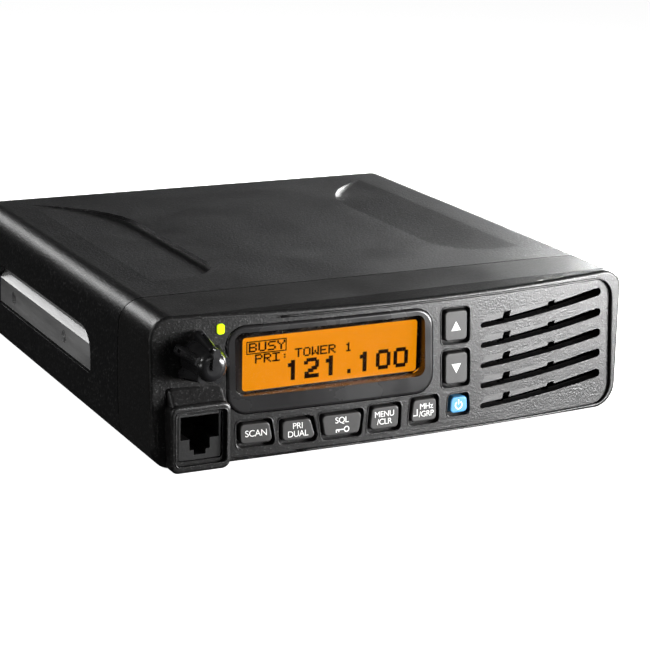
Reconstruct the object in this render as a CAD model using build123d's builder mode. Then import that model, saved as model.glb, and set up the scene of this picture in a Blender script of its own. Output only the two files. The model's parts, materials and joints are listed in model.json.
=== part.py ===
"""Panel-mount VHF air-band transceiver: case, front panel, controls, sockets and inner boards.

X runs to the right seen from the front, Y to the rear and Z up. The origin is the middle of the
footprint on the surface the set stands on. All sizes are in millimetres.
"""
from build123d import *
import math
import os

os.makedirs("parts", exist_ok=True)

# ---- overall sizes ------------------------------------------------------------------------------
WIDTH = 161.0                # case, side to side
HEIGHT = 45.0                # case, bottom to top
DEPTH = 175.0                # front of the microphone socket to the back of the heat sink
CORNER = 7.0                 # rounding of the four long edges of the case
KNOB_REACH = 8.6             # how far the knob stands in front of the microphone socket
AERIAL_REACH = 16.0          # how far the aerial socket stands out behind the heat sink
FRONT = -(DEPTH + AERIAL_REACH - KNOB_REACH) / 2

# ---- case ---------------------------------------------------------------------------------------
WALL = 2.0                   # sleeve wall
FIT = 0.3                    # gap between pieces that slide together
SEAM_DEPTH = 29.5            # seam between panel and sleeve, on the top face
SEAM_BOW = 2.5               # the seam bulges this much to the rear at mid height
SEAM_GAP = 0.4
SINK_PLATE = 3.5             # heat-sink plate behind the sleeve
PLATE_WIDTH = 140.0          # bottom plate
PLATE_THICK = 1.5
SCOOP_X = 39.0               # straight inner edge of each hollow in the top
SCOOP_DEPTH = 1.25
SCOOP_RUN = 25.0             # width over which the hollow fades out
SCOOP_FRONT = 46.5
SCOOP_LENGTH = 119.0
SCOOP_CORNER = 17.0          # front corner
SCOOP_SWEEP = 45.0           # rear corner
WINDOW_FRONT = 55.6          # cut-out in the side of the sleeve, over the mounting rail
WINDOW_LENGTH = 94.0
WINDOW_LOW = 15.0
WINDOW_HIGH = 29.0
WINDOW_CORNER = 8.0
RAIL_GAP = 2.0               # free length at each end of the rail
RAIL_INSET = 0.6             # rail face behind the outer side face
RAIL_CREASE = 24.0
RAIL_TOP_INSET = 4.2
MOUNT_HOLE_R = 2.1           # tapped hole for an M5 screw, at its minor diameter
MOUNT_HOLE_DEPTH = 7.0
MOUNT_HOLE_Z = 20.0
MOUNT_HOLE_FRONT = 82.0
MOUNT_HOLE_PITCH = 51.0

# ---- chassis ------------------------------------------------------------------------------------
TRAY_FLOOR = 2.6
TRAY_SIDE = 3.0
TRAY_HEIGHT = 32.0
TRAY_FRONT = 35.5
FIN_COUNT = 22
FIN_SLOT = 2.6

# ---- front panel --------------------------------------------------------------------------------
PANEL_WALL = 2.5
FACE_RADIUS = 575.0          # the face is a shallow barrel, seen from above
FACE_APEX_X = -10.0
FACE_DEPTH = 0.9             # lowest edge of the face, behind the front of the socket
FACE_FOOT_Z = 3.0
FACE_LEAN = 4.0              # degrees that the face leans back
RIM_PROUD = 0.8
RIM_WIDTH = 3.6
RIM_TAPER = 0.22             # rise of the brow for each millimetre to the rear
RIM_ROUND = 1.1              # rolled outer edge of the rim
BROW_DEPTH = 8.7
BROW_TURN = 1.9              # degrees that the brow turns away to the right

# ---- display ------------------------------------------------------------------------------------
BEZEL_X = (-57.6, 8.9)
BEZEL_Z = (14.6, 40.6)
BEZEL_PROUD = 0.5
BEZEL_CORNER = 6.0
BEZEL_ROUND = 0.9
VIEW_X = (-55.0, 6.0)
VIEW_Z = (20.0, 38.6)
VIEW_CORNER = 2.6
LCD_X = (-56.2, 7.4)
LCD_Z = (18.0, 39.6)
LCD_CORNER = 5.0
LCD_DEPTH = 6.6              # front of the liquid-crystal glass
LCD_GLASS = 1.8
LENS_DEPTH = 5.2
LENS_THICK = 1.0

# ---- keys ---------------------------------------------------------------------------------------
KEY_GAP = 1.25               # recess around a cap
KEY_RECESS = 2.0
KEY_PROUD = 0.35
KEY_FIT = 0.25
KEY_TRAVEL = 0.7
KEY_FLANGE = 0.9
KEY_CORNER = 2.2
MAT_THICK = 1.2

# ---- knob, lamp, microphone socket --------------------------------------------------------------
KNOB_X = -66.6
KNOB_Z = 33.0
KNOB_BASE_R = 6.3
KNOB_BODY_R = 5.2            # round body between the grips
KNOB_NOSE_R = 4.5
KNOB_LENGTH = 13.3
SHAFT_R = 3.0
SHAFT_FIT = 0.05
BUSH_R = 4.2
LAMP_X = -59.0
LAMP_Z = 40.2
SOCKET_X = (-76.4, -57.8)
SOCKET_TOP = 20.2
SOCKET_CORNER = 2.6
SOCKET_ROUND = 1.0
SOCKET_STEP = 1.4            # frame step round the opening
JACK_X = (-73.8, -60.2)
JACK_Z = (3.2, 17.2)
SHOULDER = 4.0

# ---- grille -------------------------------------------------------------------------------------
SLOT_COUNT = 5
SLOT_LEFT_X = 25.2
SLOT_RIGHT_X = 72.0
SLOT_LEFT_Z = 8.9            # lowest slot, left end
SLOT_PITCH_LEFT = 6.27
SLOT_PITCH_RIGHT = 6.5
SLOT_RISE = 3.3
SLOT_HIGH = 3.9              # opening at the left end
SLOT_TIP = 2.6               # opening at the right end

# ---- boards -------------------------------------------------------------------------------------
BOARD = 1.6
FRONT_BOARD_DEPTH = 17.0
BOARD_X = (-74.0, 24.5)
MAIN_BOARD_Z = 10.0


def behind(distance):
    """Y of a place this far behind the front of the microphone socket."""
    return FRONT + distance


def facing(distance):
    """Upright plane that looks to the front: its x is X and its y is Z."""
    return Plane.XZ.offset(-behind(distance))


def level(height):
    return Plane.XY.offset(height)


def finish(builder, name):
    builder.part.label = name
    export_step(builder.part, f"parts/{name}.step")


def face_depth(x, z):
    """How far the plain face lies behind the socket's front at a place on it."""
    lean = (z - FACE_FOOT_Z) * math.tan(math.radians(FACE_LEAN))
    return FACE_DEPTH + lean + (x - FACE_APEX_X) ** 2 / (2 * FACE_RADIUS)


def barrel(inset, full=FACE_RADIUS):
    """The space behind the face surface, or a rounder one, set back by inset."""
    tilt = math.radians(FACE_LEAN)
    radius = full - inset
    foot = Vector(FACE_APEX_X, behind(FACE_DEPTH), FACE_FOOT_Z)
    centre = foot + full * Vector(0, math.cos(tilt), -math.sin(tilt))
    axis = Plane(origin=centre, x_dir=(1, 0, 0), z_dir=(0, math.sin(tilt), math.cos(tilt)))
    with BuildPart() as space:
        with BuildSketch(axis):
            Circle(radius)
        extrude(amount=160, both=True)
    return space.part


def case_outline(inset, radius):
    with Locations((0, HEIGHT / 2)):
        RectangleRounded(WIDTH - 2 * inset, HEIGHT - 2 * inset, radius)


def seam_drum(growth):
    """Drum along X whose rear is the bowed seam."""
    radius = HEIGHT ** 2 / (8 * SEAM_BOW) + SEAM_BOW / 2
    middle = SEAM_DEPTH + SEAM_BOW - radius
    with BuildPart() as drum:
        with BuildSketch(Plane.YZ):
            with Locations((behind(middle), HEIGHT / 2)):
                Circle(radius + growth)
        extrude(amount=WIDTH, both=True)
    return drum.part


def rounded_box(x_span, z_span, corner, front, depth):
    """Upright rounded block, from front to front + depth behind the socket's front."""
    with BuildPart() as block:
        with BuildSketch(facing(front + depth)):
            with Locations(((x_span[0] + x_span[1]) / 2, (z_span[0] + z_span[1]) / 2)):
                RectangleRounded(x_span[1] - x_span[0], z_span[1] - z_span[0], corner)
        extrude(amount=depth)
    return block.part


# ---- keys: name, left, right, low, high of the recess, and how far each side leans in at the top --
KEYS = {
    "key_scan": (-55.2, -42.6, 4.4, 12.9, 0.0, 1.0),
    "key_priority": (-42.2, -29.0, 4.0, 12.6, 0.0, 1.8),
    "key_squelch": (-28.8, -15.0, 3.9, 12.8, -0.9, -1.0),
    "key_menu": (-14.1, -2.0, 4.1, 13.3, 0.9, -0.4),
    "key_enter": (-0.2, 11.2, 4.7, 14.0, 1.0, 0.0),
    "key_power": (13.4, 22.3, 5.8, 13.2, 0.6, 0.3),
    "key_down": (11.8, 22.2, 14.8, 26.9, 0.0, 0.0),
    "key_up": (11.7, 22.1, 28.1, 39.8, 0.0, 0.0),
}


def key_corners(key, grow):
    left, right, low, high, lean_left, lean_right = KEYS[key]
    return [
        (left - grow, low - grow),
        (right + grow, low - grow),
        (right - lean_right + grow, high + grow),
        (left + lean_left - grow, high + grow),
    ]


def key_prism(key, grow, corner, front, depth):
    with BuildPart() as prism:
        with BuildSketch(facing(front + depth)):
            with BuildLine():
                Polyline(*key_corners(key, grow), close=True)
            make_face()
            fillet(vertices(), corner)
        extrude(amount=depth)
    return prism.part


def key_middle(key):
    left, right, low, high = KEYS[key][:4]
    return (left + right) / 2, (low + high) / 2


def slot_line(index, high):
    """Four corners of a grille slot, and the mid-points of its long edges."""
    left_z = SLOT_LEFT_Z + index * SLOT_PITCH_LEFT
    right_z = SLOT_LEFT_Z + SLOT_RISE + index * SLOT_PITCH_RIGHT
    sag = -0.55
    middle_x = (SLOT_LEFT_X + SLOT_RIGHT_X) / 2
    middle_z = (left_z + right_z) / 2 + sag
    half_left = SLOT_HIGH / 2 * high
    half_right = SLOT_TIP / 2 * high
    half_middle = (half_left + half_right) / 2
    return {
        "low_left": (SLOT_LEFT_X, left_z - half_left),
        "low_middle": (middle_x, middle_z - half_middle),
        "low_right": (SLOT_RIGHT_X, right_z - half_right),
        "high_right": (SLOT_RIGHT_X, right_z + half_right),
        "high_middle": (middle_x, middle_z + half_middle),
        "high_left": (SLOT_LEFT_X + 2.4, left_z + half_left),
    }


def slot_prism(index, front, depth):
    edge = slot_line(index, 1.0)
    with BuildPart() as prism:
        with BuildSketch(facing(front + depth)):
            with BuildLine():
                ThreePointArc(edge["low_left"], edge["low_middle"], edge["low_right"])
                Line(edge["low_right"], edge["high_right"])
                ThreePointArc(edge["high_right"], edge["high_middle"], edge["high_left"])
                Line(edge["high_left"], edge["low_left"])
            make_face()
            fillet(vertices().group_by(Axis.X)[-1], SLOT_TIP * 0.45)
            fillet(vertices().group_by(Axis.X)[0], 0.8)
        extrude(amount=depth)
    return prism.part


# ---- shared tool bodies --------------------------------------------------------------------------
FACE = barrel(0)
RIM_SKIN = barrel(-RIM_PROUD)
INNER_SKIN = barrel(PANEL_WALL)
SEAM = seam_drum(0)
SEAM_CLEAR = seam_drum(SEAM_GAP)


def brow_taper():
    """Funnel that narrows to the front: it slopes the brow and the sides of the rim."""
    ahead, back = 13.0, 30.0
    turn = math.radians(BROW_TURN)
    plane = Plane(
        origin=(0, behind(BROW_DEPTH), HEIGHT / 2),
        x_dir=(math.cos(turn), math.sin(turn), 0),
        z_dir=(math.sin(turn), -math.cos(turn), 0),
    )
    with BuildPart() as funnel:
        with BuildSketch(plane.offset(ahead)):
            RectangleRounded(WIDTH - 1.5 * ahead, HEIGHT - 2 * RIM_TAPER * ahead, CORNER)
        with BuildSketch(plane.offset(-back)):
            RectangleRounded(WIDTH + 1.5 * back, HEIGHT + 2 * RIM_TAPER * back, CORNER)
        loft(ruled=True)
    return funnel.part


def recess_tool():
    """What is taken off inside the rim, down to the face."""
    with BuildPart() as tool:
        with BuildSketch(facing(25)):
            with Locations((0, HEIGHT / 2 - 0.2)):
                RectangleRounded(WIDTH - 2 * RIM_WIDTH - 1.6, HEIGHT - 4.6, CORNER - 0.6)
        extrude(amount=40)
        add(FACE, mode=Mode.SUBTRACT)
    return tool.part


def panel_cavity():
    with BuildPart() as cavity:
        with BuildSketch(facing(SEAM_DEPTH + SEAM_BOW + 1)):
            case_outline(PANEL_WALL, CORNER - PANEL_WALL)
        extrude(amount=60)
        add(INNER_SKIN, mode=Mode.INTERSECT)
    return cavity.part


BROW = brow_taper()
RECESS = recess_tool()
CAVITY = panel_cavity()



def on_rim(edge):
    """Whether an edge lies on the rim's skin, all the way along."""
    radius = FACE_RADIUS + RIM_PROUD
    tilt = math.radians(FACE_LEAN)
    foot = Vector(FACE_APEX_X, behind(FACE_DEPTH), FACE_FOOT_Z)
    centre = foot + FACE_RADIUS * Vector(0, math.cos(tilt), -math.sin(tilt))
    along = Vector(0, math.sin(tilt), math.cos(tilt))
    for share in (0.0, 0.5, 1.0):
        offset = edge.position_at(share) - centre
        distance = (offset - along * offset.dot(along)).length
        if abs(distance - radius) > 0.02:
            return False
    return True


def socket_housing():
    """The box round the microphone socket, with the saddle that runs from it up to the face."""
    middle = (SOCKET_X[0] + SOCKET_X[1]) / 2
    with BuildPart() as housing:
        with BuildSketch(facing(0)):
            with Locations((middle, SOCKET_TOP / 2)):
                RectangleRounded(SOCKET_X[1] - SOCKET_X[0], SOCKET_TOP, SOCKET_CORNER)
        extrude(amount=-12)
        fillet(edges().group_by(Axis.Y)[0], SOCKET_ROUND)
    with BuildPart() as saddle:
        with BuildSketch(Plane.YZ.offset(SOCKET_X[0] + 0.8)):
            with BuildLine():
                Polyline(
                    (behind(1.4), SOCKET_TOP - 3),
                    (behind(1.4), SOCKET_TOP - 0.4),
                    (behind(5.0), SOCKET_TOP + SHOULDER),
                    (behind(12), SOCKET_TOP + SHOULDER),
                    (behind(12), SOCKET_TOP - 3),
                    close=True,
                )
            make_face()
        extrude(amount=SOCKET_X[1] - SOCKET_X[0] - 1.6)
        upper = edges().filter_by(Axis.X).group_by(Axis.Z)[-1].sort_by(Axis.Y)[0]
        fillet([upper], 1.6)
        sides = [edge for edge in edges() if edge.center().Z > SOCKET_TOP - 0.5
                 and edge.center().Y < behind(11) and abs(edge.tangent_at(0.5).X) < 0.1]
        fillet(sides, 1.5)
    return housing.part + saddle.part


# ---- front panel --------------------------------------------------------------------------------
with BuildPart() as front_panel:
    with BuildSketch(facing(SEAM_DEPTH + SEAM_BOW + 1)):
        case_outline(0, CORNER)
    extrude(amount=SEAM_DEPTH + SEAM_BOW + 8)
    add(SEAM, mode=Mode.INTERSECT)
    add(BROW, mode=Mode.INTERSECT)
    add(RIM_SKIN, mode=Mode.INTERSECT)
    rolled = [edge for edge in edges() if on_rim(edge)]
    fillet(rolled, RIM_ROUND)
    add(RECESS, mode=Mode.SUBTRACT)
    add(CAVITY, mode=Mode.SUBTRACT)
    add(socket_housing())
    # socket opening and its shallow outer step
    add(rounded_box(JACK_X, JACK_Z, 0.8, -5, 30), mode=Mode.SUBTRACT)
    add(rounded_box(
        (JACK_X[0] - SOCKET_STEP, JACK_X[1] + SOCKET_STEP),
        (JACK_Z[0] - SOCKET_STEP, JACK_Z[1] + SOCKET_STEP), 1.6, -5, 5 + SOCKET_STEP),
        mode=Mode.SUBTRACT)
    # display opening
    add(rounded_box(
        (BEZEL_X[0] - 0.15, BEZEL_X[1] + 0.15), (BEZEL_Z[0] - 0.15, BEZEL_Z[1] + 0.15),
        BEZEL_CORNER + 0.15, -5, 20), mode=Mode.SUBTRACT)
    # key recesses with a hole for each cap
    for key in KEYS:
        key_x, key_z = key_middle(key)
        floor = face_depth(key_x, key_z) + KEY_RECESS
        add(key_prism(key, 0, KEY_CORNER, floor - 10, 10), mode=Mode.SUBTRACT)
        add(key_prism(key, KEY_FIT - KEY_GAP, KEY_CORNER - KEY_GAP + KEY_FIT, -5, 20),
            mode=Mode.SUBTRACT)
    for index in range(SLOT_COUNT):
        add(slot_prism(index, -5, 30), mode=Mode.SUBTRACT)
    with BuildSketch(facing(20)):
        with Locations((KNOB_X, KNOB_Z)):
            Circle(BUSH_R + 0.1)
        with Locations((LAMP_X, LAMP_Z)):
            RectangleRounded(2.4, 3.2, 0.9)
    extrude(amount=30, mode=Mode.SUBTRACT)
finish(front_panel, "front_panel")

# ---- display ------------------------------------------------------------------------------------
BEZEL_BACK = LCD_DEPTH + LCD_GLASS + 0.4
BEZEL_SKIN = barrel(-BEZEL_PROUD)
with BuildPart() as lcd_bezel:
    add(rounded_box(BEZEL_X, BEZEL_Z, BEZEL_CORNER, -5, 5 + BEZEL_BACK))
    add(BEZEL_SKIN, mode=Mode.INTERSECT)
    front_face = faces().sort_by(Axis.Y)[0]
    fillet(front_face.edges(), BEZEL_ROUND)
    add(rounded_box(VIEW_X, VIEW_Z, VIEW_CORNER, -5, 30), mode=Mode.SUBTRACT)
    add(rounded_box(
        (LCD_X[0] - 0.15, LCD_X[1] + 0.15), (LCD_Z[0] - 0.15, LCD_Z[1] + 0.15),
        LCD_CORNER + 0.15, LCD_DEPTH, 10), mode=Mode.SUBTRACT)
finish(lcd_bezel, "lcd_bezel")

with BuildPart() as lcd_lens:
    add(rounded_box(
        (VIEW_X[0] + 0.1, VIEW_X[1] - 0.1), (VIEW_Z[0] + 0.1, VIEW_Z[1] - 0.1),
        VIEW_CORNER - 0.1, LENS_DEPTH, LENS_THICK))
finish(lcd_lens, "lcd_lens")

with BuildPart() as lcd_glass:
    add(rounded_box(LCD_X, LCD_Z, LCD_CORNER, LCD_DEPTH, LCD_GLASS))
finish(lcd_glass, "lcd_glass")

GUIDE_FRONT = LCD_DEPTH + LCD_GLASS
GUIDE_THICK = 3.0
with BuildPart() as lcd_light_guide:
    add(rounded_box(
        (LCD_X[0] + 1, LCD_X[1] - 1), (LCD_Z[0] + 1, LCD_Z[1] - 1),
        LCD_CORNER - 1, GUIDE_FRONT, GUIDE_THICK))
finish(lcd_light_guide, "lcd_light_guide")

HOLDER_FRONT = GUIDE_FRONT + GUIDE_THICK
with BuildPart() as lcd_holder:
    add(rounded_box(LCD_X, LCD_Z, LCD_CORNER, HOLDER_FRONT, FRONT_BOARD_DEPTH - HOLDER_FRONT))
    add(rounded_box(
        (LCD_X[0] + 4, LCD_X[1] - 4), (LCD_Z[0] + 4, LCD_Z[1] - 4), 1.0, HOLDER_FRONT + 1.2, 10),
        mode=Mode.SUBTRACT)
finish(lcd_holder, "lcd_holder")

# ---- keys ---------------------------------------------------------------------------------------
KEY_SKIN = barrel(-KEY_PROUD)
MAT_FRONT = FRONT_BOARD_DEPTH - MAT_THICK
PLUNGER_END = MAT_FRONT - KEY_TRAVEL - 0.25
FLANGE_THICK = 0.8


def make_key(name):
    key_x, key_z = key_middle(name)
    flange_front = face_depth(key_x, key_z) + PANEL_WALL + 1.0
    with BuildPart() as cap:
        add(key_prism(name, -KEY_GAP, KEY_CORNER - 0.8, -5, 5 + flange_front + FLANGE_THICK))
        add(KEY_SKIN, mode=Mode.INTERSECT)
        fillet(edges().group_by(Axis.Y)[0] + edges().group_by(Axis.Y)[1], 0.45)
        add(key_prism(name, KEY_FLANGE - KEY_GAP, KEY_CORNER - 0.6, flange_front, FLANGE_THICK))
        with BuildSketch(facing(flange_front + FLANGE_THICK)):
            with Locations((key_x, key_z)):
                RectangleRounded(3.0, 2.4, 0.6)
        extrude(amount=-(PLUNGER_END - flange_front - FLANGE_THICK))
    return cap


for key in KEYS:
    finish(make_key(key), key)

with BuildPart() as keypad_mat:
    with BuildSketch(facing(FRONT_BOARD_DEPTH)):
        with Locations((-16, 8.9)):
            RectangleRounded(80, 10.6, 1.5)
        with Locations((17.3, 22.2)):
            RectangleRounded(13.4, 37.2, 1.5)
    extrude(amount=MAT_THICK)
    for key in KEYS:
        with Locations(Plane(origin=(key_middle(key)[0], behind(MAT_FRONT), key_middle(key)[1]),
                             z_dir=(0, 1, 0))):
            Hole(1.0, depth=0.4)
finish(keypad_mat, "keypad_mat")

# ---- volume knob, shaft, bush and potentiometer -------------------------------------------------
KNOB_BACK = KNOB_LENGTH - KNOB_REACH
NOSE = -KNOB_REACH + 0.7
LOBE_COUNT = 5
LOBE_FIRST = 83.0            # direction of the pointer at rest, in degrees from +X
LOBE_WIDE = 3.3
LOBE_DEEP = 4.6
LOBE_FRONT = 1.7             # front end of a lobe, behind the nose
GROOVE_WIDE = 1.1            # groove along each lobe
GROOVE_DEEP = 0.7


def lobe_axis(back):
    """Distance from the knob's axis to the middle of a lobe, this far back."""
    share = (KNOB_BACK - back) / (KNOB_BACK - NOSE - LOBE_FRONT)
    return KNOB_BASE_R - 0.8 - share * (KNOB_BASE_R - KNOB_NOSE_R - 0.1)


def lobe_height(back):
    share = (KNOB_BACK - back) / (KNOB_BACK - NOSE - LOBE_FRONT)
    return LOBE_DEEP - 1.2 * share


def lobe_part(angle, stations):
    """Ruled body along the side of the knob; stations give depth, distance, height, width."""
    turn = math.radians(angle)
    with BuildPart() as grip:
        for back, radius, deep, wide, corner in stations:
            with BuildSketch(facing(back)):
                with Locations(Location(
                    (KNOB_X + radius * math.cos(turn), KNOB_Z + radius * math.sin(turn)), angle)):
                    RectangleRounded(deep, wide, corner)
        loft(ruled=True)
    return grip.part


def lobe(angle):
    """A grip that runs down the side of the knob."""
    tip = NOSE + LOBE_FRONT
    return lobe_part(angle, [
        (back, lobe_axis(back), lobe_height(back), wide, 0.42 * wide)
        for back, wide in ((KNOB_BACK, LOBE_WIDE), (tip, LOBE_WIDE - 0.5))
    ])


def lobe_groove(angle):
    """Narrow groove along the crest of a grip."""
    return lobe_part(angle, [
        (back, lobe_axis(back) + lobe_height(back) / 2, 2 * GROOVE_DEEP, GROOVE_WIDE, 0.3)
        for back in (KNOB_BACK - 1.8, NOSE + LOBE_FRONT + 1.2)
    ])


with BuildPart() as volume_knob:
    knob_plane = Plane(origin=(KNOB_X, behind(KNOB_BACK), KNOB_Z), x_dir=(1, 0, 0), z_dir=(0, 0, 1))
    with BuildSketch(knob_plane):
        with BuildLine():
            nose_y = NOSE - KNOB_BACK
            Polyline(
                (0, nose_y), (0, 0), (KNOB_BODY_R, 0), (KNOB_BODY_R, -1.4),
                (KNOB_NOSE_R, nose_y + 2.2))
            ThreePointArc(
                (KNOB_NOSE_R, nose_y + 2.2), (KNOB_NOSE_R - 0.7, nose_y + 0.75), (2.2, nose_y))
            Line((2.2, nose_y), (0, nose_y))
        make_face()
    revolve(axis=Axis((KNOB_X, 0, KNOB_Z), (0, 1, 0)))
    for number in range(LOBE_COUNT):
        add(lobe(LOBE_FIRST + number * 360 / LOBE_COUNT))
    for number in range(LOBE_COUNT):
        add(lobe_groove(LOBE_FIRST + number * 360 / LOBE_COUNT), mode=Mode.SUBTRACT)
    pointer = math.radians(LOBE_FIRST)
    with BuildSketch(facing(NOSE + 1.0)):
        with Locations(Location(
            (KNOB_X + 2.6 * math.cos(pointer), KNOB_Z + 2.6 * math.sin(pointer)), LOBE_FIRST)):
            SlotOverall(6.4, 2.0)
    extrude(amount=1.7)
    with BuildSketch(facing(KNOB_BACK)):
        with Locations((KNOB_X, KNOB_Z)):
            Circle(SHAFT_R)
    extrude(amount=KNOB_LENGTH - 4, mode=Mode.SUBTRACT)
    with BuildSketch(facing(KNOB_BACK)):
        with Locations((KNOB_X, KNOB_Z)):
            Circle(BUSH_R + 0.6)
    extrude(amount=1.2, mode=Mode.SUBTRACT)
finish(volume_knob, "volume_knob")

POT_FRONT = FRONT_BOARD_DEPTH + BOARD
POT_THICK = 6.5


def round_bar(radius, front, back, hole=0.0):
    with BuildPart() as bar:
        with BuildSketch(facing(back)):
            with Locations((KNOB_X, KNOB_Z)):
                Circle(radius)
                if hole:
                    Circle(hole, mode=Mode.SUBTRACT)
        extrude(amount=back - front)
    return bar


SHAFT_FRONT = KNOB_BACK - (KNOB_LENGTH - 4) + 0.1
finish(round_bar(SHAFT_R, SHAFT_FRONT, POT_FRONT + 3.0), "volume_shaft")
finish(round_bar(BUSH_R, KNOB_BACK + 1.6, POT_FRONT, SHAFT_R + SHAFT_FIT), "volume_bush")

with BuildPart() as volume_control:
    with BuildSketch(facing(POT_FRONT + POT_THICK)):
        with Locations((KNOB_X, KNOB_Z)):
            RectangleRounded(14, 14, 1.5)
    extrude(amount=POT_THICK)
    with BuildSketch(facing(POT_FRONT + 3.4)):
        with Locations((KNOB_X, KNOB_Z)):
            Circle(SHAFT_R + SHAFT_FIT)
    extrude(amount=3.4, mode=Mode.SUBTRACT)
finish(volume_control, "volume_control")

# ---- transmit lamp ------------------------------------------------------------------------------
with BuildPart() as lamp_pipe:
    with BuildSketch(facing(FRONT_BOARD_DEPTH)):
        with Locations((LAMP_X, LAMP_Z)):
            RectangleRounded(2.2, 3.0, 0.8)
    extrude(amount=FRONT_BOARD_DEPTH - face_depth(LAMP_X, LAMP_Z) + 0.3)
finish(lamp_pipe, "lamp_pipe")

# ---- microphone socket --------------------------------------------------------------------------
JACK_FRONT = 1.6
JACK_BACK = 16.5
jack_x = (JACK_X[0] + JACK_X[1]) / 2
jack_z = (JACK_Z[0] + JACK_Z[1]) / 2
PLUG_WIDE = 11.8
PLUG_HIGH = 6.9
TAB_WIDE = 6.3
TAB_HIGH = 3.2
PLUG_LOW = jack_z - 0.6
with BuildPart() as mic_jack:
    add(rounded_box(
        (JACK_X[0] + 0.1, JACK_X[1] - 0.1), (JACK_Z[0] + 0.1, JACK_Z[1] - 0.1), 0.7,
        JACK_FRONT, JACK_BACK - JACK_FRONT))
    fillet(edges().group_by(Axis.Y)[0], 0.25)
    with BuildSketch(facing(JACK_BACK - 2)):
        with Locations((jack_x, PLUG_LOW + PLUG_HIGH / 2)):
            Rectangle(PLUG_WIDE, PLUG_HIGH)
        with Locations((jack_x, PLUG_LOW - TAB_HIGH / 2)):
            Rectangle(TAB_WIDE, TAB_HIGH + 0.02)
        with Locations((jack_x, PLUG_LOW - TAB_HIGH - 0.75)):
            Rectangle(TAB_WIDE - 2.6, 1.52)
    extrude(amount=20, mode=Mode.SUBTRACT)
finish(mic_jack, "mic_jack")

with BuildPart() as mic_contacts:
    for number in range(8):
        contact_x = jack_x + (number - 3.5) * 1.02
        with BuildSketch(Plane.YZ.offset(contact_x - 0.2)):
            with BuildLine():
                Polyline(
                    (behind(4.0), PLUG_LOW + PLUG_HIGH), (behind(13.0), PLUG_LOW + PLUG_HIGH),
                    (behind(13.0), PLUG_LOW + PLUG_HIGH - 2.2),
                    (behind(12.5), PLUG_LOW + PLUG_HIGH - 2.2),
                    (behind(4.4), PLUG_LOW + PLUG_HIGH - 0.5),
                    (behind(4.0), PLUG_LOW + PLUG_HIGH - 0.5), close=True)
            make_face()
        extrude(amount=0.4)
finish(mic_contacts, "mic_contacts")

# ---- grille louvres, cloth and speaker ----------------------------------------------------------
LOUVRE_BACK = 1.1
RIB_X = (36.2, 53.5)
RIB_GAP = 2.6
RIB_SLANT = 1.6
SLIT_LEFT = 0.36             # open share of the slot's height, at its left end
SLIT_RIGHT = 0.82


def slanted(x, z, wide, high):
    """Corners of a leaning bar whose foot is at x, z."""
    return [(x, z), (x + wide, z), (x + wide + RIB_SLANT, z + high), (x + RIB_SLANT, z + high)]


def slit_points(edge):
    """Upper edge of the open slit: left end, middle, right end."""
    middle = (SLIT_LEFT + SLIT_RIGHT) / 2 - 0.04
    points = []
    for low, high, cut in (
        ("low_left", "high_left", SLIT_LEFT),
        ("low_middle", "high_middle", middle),
        ("low_right", "high_right", SLIT_RIGHT),
    ):
        rise = edge[high][1] - edge[low][1]
        points.append((edge[low][0], edge[low][1] + cut * rise))
    return points


def slit_prism(index):
    """The open lower part of one slot."""
    edge = slot_line(index, 1.0)
    points = slit_points(edge)
    with BuildPart() as prism:
        with BuildSketch(facing(30)):
            with BuildLine():
                ThreePointArc(edge["low_left"], edge["low_middle"], edge["low_right"])
                Line(edge["low_right"], points[2])
                ThreePointArc(points[2], points[1], points[0])
                Line(points[0], edge["low_left"])
            make_face()
        extrude(amount=40)
    return prism.part


def rib_notch(index, rib):
    """Leaning gap beside a rib, through the louvres of one slot."""
    foot = slot_line(index, 1.0)
    share = (rib - SLOT_LEFT_X) / (SLOT_RIGHT_X - SLOT_LEFT_X)
    rib_z = foot["low_left"][1] + share * (foot["low_right"][1] - foot["low_left"][1]) - 1.0
    with BuildPart() as notch:
        with BuildSketch(facing(25)):
            with BuildLine():
                Polyline(*slanted(rib - RIB_GAP, rib_z, RIB_GAP, SLOT_HIGH + 0.8), close=True)
            make_face()
        extrude(amount=40)
    return notch.part


with BuildPart() as grille_louvres:
    with BuildSketch(facing(25)):
        with Locations(((SLOT_LEFT_X + SLOT_RIGHT_X) / 2, HEIGHT / 2)):
            RectangleRounded(SLOT_RIGHT_X - SLOT_LEFT_X + 2.6, 36.0, 2.0)
    extrude(amount=40)
    add(barrel(PANEL_WALL + 0.05), mode=Mode.INTERSECT)
    add(barrel(PANEL_WALL + 0.05 + LOUVRE_BACK), mode=Mode.SUBTRACT)
    for index in range(SLOT_COUNT):
        add(slit_prism(index), mode=Mode.SUBTRACT)
        for rib in RIB_X:
            add(rib_notch(index, rib), mode=Mode.SUBTRACT)
finish(grille_louvres, "grille_louvres")

BLADE_SINK = 0.45            # blade behind the face, at the barrel's apex
BLADE_RADIUS = 480.0         # rounder than the face, so the blades sink in towards the right
BLADE_SKIN = barrel(BLADE_SINK, BLADE_RADIUS)
with BuildPart() as grille_blades:
    for index in range(SLOT_COUNT):
        add(slot_prism(index, -5, 30))
    add(BLADE_SKIN, mode=Mode.INTERSECT)
    add(barrel(PANEL_WALL), mode=Mode.SUBTRACT)
    for index in range(SLOT_COUNT):
        add(slit_prism(index), mode=Mode.SUBTRACT)
        for rib in RIB_X:
            add(rib_notch(index, rib), mode=Mode.SUBTRACT)
finish(grille_blades, "grille_blades")

SPEAKER_X = 49.0
SPEAKER_Z = 22.5
SPEAKER_R = 18.0
CLOTH_DEPTH = 15.6
with BuildPart() as speaker_cloth:
    with BuildSketch(facing(CLOTH_DEPTH + 0.4)):
        with Locations((SPEAKER_X, SPEAKER_Z)):
            RectangleRounded(50, 37, 2)
    extrude(amount=0.4)
finish(speaker_cloth, "speaker_cloth")

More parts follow.
